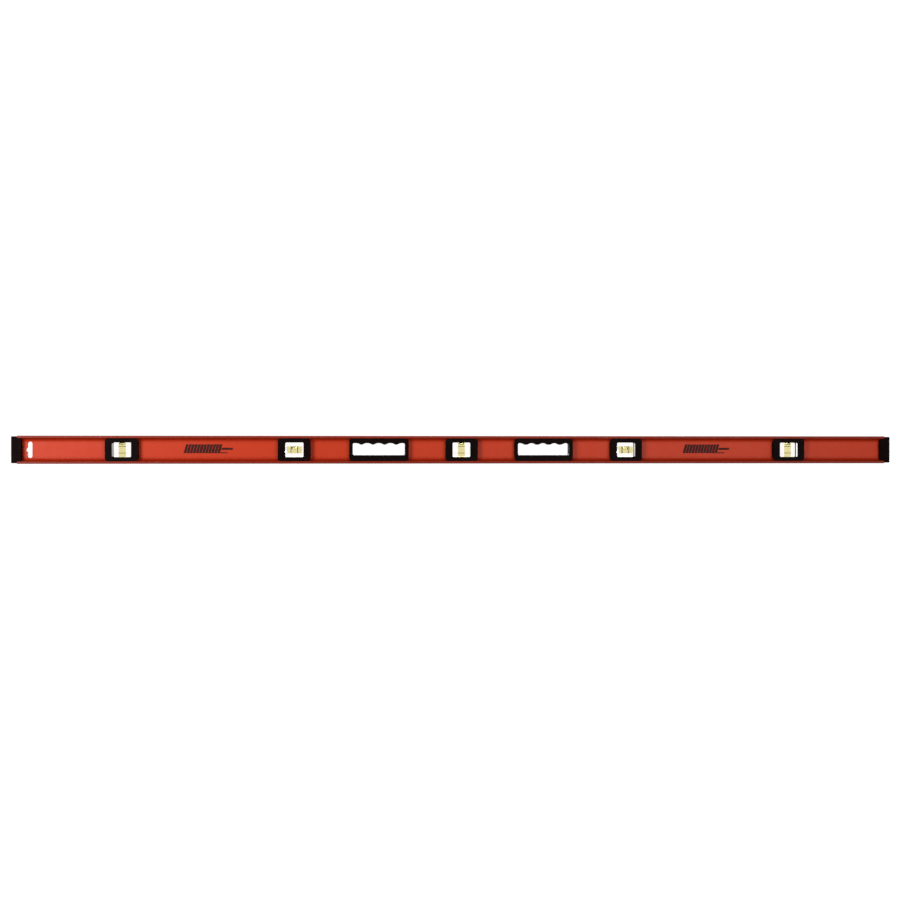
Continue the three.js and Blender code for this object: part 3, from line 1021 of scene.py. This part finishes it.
def make_lights():
    for name, light in LIGHTS.items():
        data = bpy.data.lights.new(name, "AREA")
        data.shape = "RECTANGLE"
        data.size, data.size_y = light["size"]
        data.energy = light["power"]
        softbox = bpy.data.objects.new(name, data)
        bpy.context.scene.collection.objects.link(softbox)
        softbox.location = light["at"]
        aim = Vector(light["target"]) - Vector(light["at"])
        softbox.rotation_euler = aim.to_track_quat("-Z", "Y").to_euler()


def make_world():
    """White behind the object and through its clear pieces, and a softer grey as a light."""
    world = bpy.data.worlds.new("studio")
    bpy.context.scene.world = world
    m = Nodes(world, "Background")
    m.link(m.ramp(m.seen(), 0.0, 1.0, SKY_LIGHT, SKY_WHITE), m.shader.inputs["Strength"])
    m.constant("Color", (1, 1, 1, 1))


def floor_material():
    """A pale floor that looks white, and lends the object only the light that falls on it."""
    m = new_material("pale_floor")
    m.colour(m.mix(m.noise(FLOOR["patches"], COARSE), FLOOR["tone"], FLOOR["lighter"]))
    m.constant("Roughness", FLOOR["roughness"])
    m.constant("Specular IOR Level", 0.0)
    m.constant("Emission Color", (1, 1, 1, 1))
    beside = m.math("SUBTRACT", m.math("ABSOLUTE", m.axis("X")), cad_high.x)
    away = m.math("MAXIMUM", m.math("ABSOLUTE", m.axis("Y")), beside)
    glow = m.ramp(away, *FLOOR_FADE, FLOOR_GLOW["near"], FLOOR_GLOW["far"])
    m.link(m.math("MULTIPLY", m.seen(), glow), m.shader.inputs["Emission Strength"])
    return m.owner


def make_floor():
    mesh = bpy.data.meshes.new("floor")
    reach = FLOOR_REACH
    corners = [(-reach, -reach, 0), (reach, -reach, 0), (reach, reach, 0), (-reach, reach, 0)]
    mesh.from_pydata(corners, [], [(0, 1, 2, 3)])
    mesh.materials.append(floor_material())
    floor = bpy.data.objects.new("floor", mesh)
    bpy.context.scene.collection.objects.link(floor)
    floor.location.z = cad_low.z - GAP * MM


make_camera()
make_world()
make_floor()
make_lights()
bpy.context.scene.view_settings.view_transform = "Standard"

black = moulded_material("black_plastic", PLASTIC)
rubber = moulded_material("black_rubber", RUBBER)
make_beam(paint_material())
make_housings(black)
make_grips(black)
make_caps(rubber)
make_screws(steel_material())
make_vials(
    acrylic=clear_material("clear_acrylic", ACRYLIC),
    plug=clear_material("bore_plug", PLUG),
    liquid=clear_material("tinted_liquid", LIQUID),
    air=bubble_material(),
    ink=ink_material("vial_ink", VIAL_INK),
)
make_marks(ink_material("print_ink", PRINT_INK))

bpy.context.view_layer.update()
